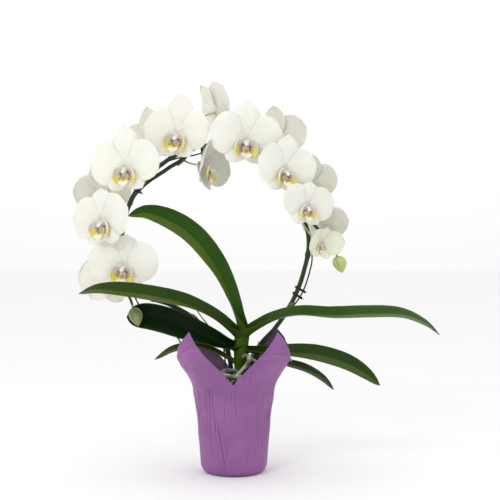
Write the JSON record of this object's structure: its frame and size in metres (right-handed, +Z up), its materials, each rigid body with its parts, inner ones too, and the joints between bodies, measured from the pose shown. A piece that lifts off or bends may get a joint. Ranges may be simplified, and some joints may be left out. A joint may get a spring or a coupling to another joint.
{
  "type": "potted orchid",
  "caption": "Potted white moth orchid with two flower spikes tied to a wire hoop, glossy green leaves and a crinkled purple paper cover round its nursery pot",
  "frame": {"origin": "middle of the flat bottom of the pot cover, on the surface that the pot stands on", "axes": "+Z up along the pot's axis; the front row of flowers faces -Y; +X to the right seen from the front"},
  "size_m": [0.5394, 0.1657, 0.5728],
  "materials": {
    "cover_paper": "matte",
    "pot_plastic": "matte",
    "bark": "matte",
    "leaf": "satin",
    "spike": "satin",
    "root": "matte",
    "petal": "matte",
    "lip": "satin",
    "bud": "satin",
    "hoop_wire": "satin",
    "clip_plastic": "satin"
  },
  "bodies": {
    "root": {"pot_cover": "cover_paper", "nursery_pot": "pot_plastic", "growing_medium": "bark", "crown_stem": "leaf", "leaf_1": "leaf", "leaf_2": "leaf", "leaf_3": "leaf", "leaf_4": "leaf", "leaf_5": "leaf", "leaf_6": "leaf", "leaf_7": "leaf", "root_1": "root", "root_2": "root", "root_3": "root", "root_4": "root", "root_5": "root", "back_spike": "spike", "front_spike": "spike", "wire_hoop": "hoop_wire", "support_twig": "spike", "clip_right_lower": "clip_plastic", "clip_right_upper": "clip_plastic", "clip_left": "clip_plastic", "clip_top": "clip_plastic", "flower_01": "petal", "flower_01_lip": "lip", "flower_02": "petal", "flower_02_lip": "lip", "flower_03": "petal", "flower_03_lip": "lip", "flower_04": "petal", "flower_04_lip": "lip", "flower_05": "petal", "flower_05_lip": "lip", "flower_06": "petal", "flower_06_lip": "lip", "flower_07": "petal", "flower_07_lip": "lip", "flower_08": "petal", "flower_08_lip": "lip", "flower_09": "petal", "flower_09_lip": "lip", "flower_10": "petal", "flower_10_lip": "lip", "flower_11": "petal", "flower_11_lip": "lip", "flower_12": "petal", "flower_12_lip": "lip", "flower_13": "petal", "flower_13_lip": "lip", "flower_14": "petal", "flower_14_lip": "lip", "flower_15": "petal", "flower_15_lip": "lip", "flower_16": "petal", "flower_16_lip": "lip", "bud_left": "bud", "bud_right": "bud"}
  },
  "joints": []
}
